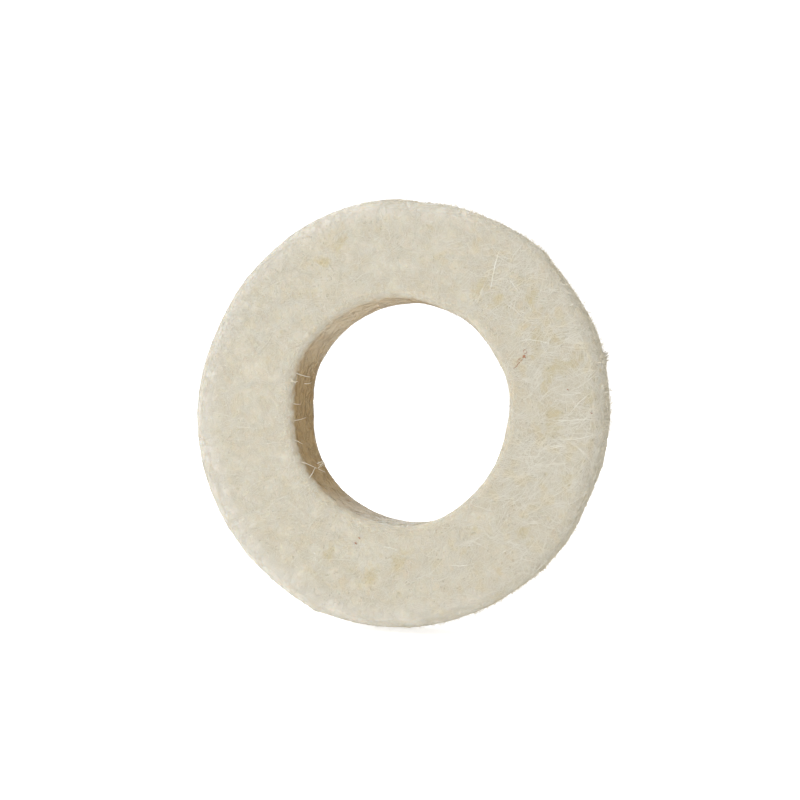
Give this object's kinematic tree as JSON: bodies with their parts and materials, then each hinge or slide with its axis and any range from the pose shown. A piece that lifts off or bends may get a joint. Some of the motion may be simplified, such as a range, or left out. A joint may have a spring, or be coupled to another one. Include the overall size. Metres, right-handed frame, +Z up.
{
  "type": "felt polishing wheel",
  "caption": "Flat ring of pressed cream wool felt with a wide plain bore and soft rounded edges, pushed over a spindle or hub as a polishing wheel.",
  "frame": {"origin": "centre of the wheel: on the bore's axis, halfway through the thickness", "axes": "+Y along the bore, which is the axis the wheel spins about; the wheel stands upright with +Z up, and its front face looks along -Y"},
  "size_m": [0.0302, 0.0044, 0.0302],
  "materials": {
    "wool_felt": "matt pressed wool felt with loose surface fibres"
  },
  "bodies": {
    "root": {"felt_ring": "wool_felt"}
  },
  "joints": []
}
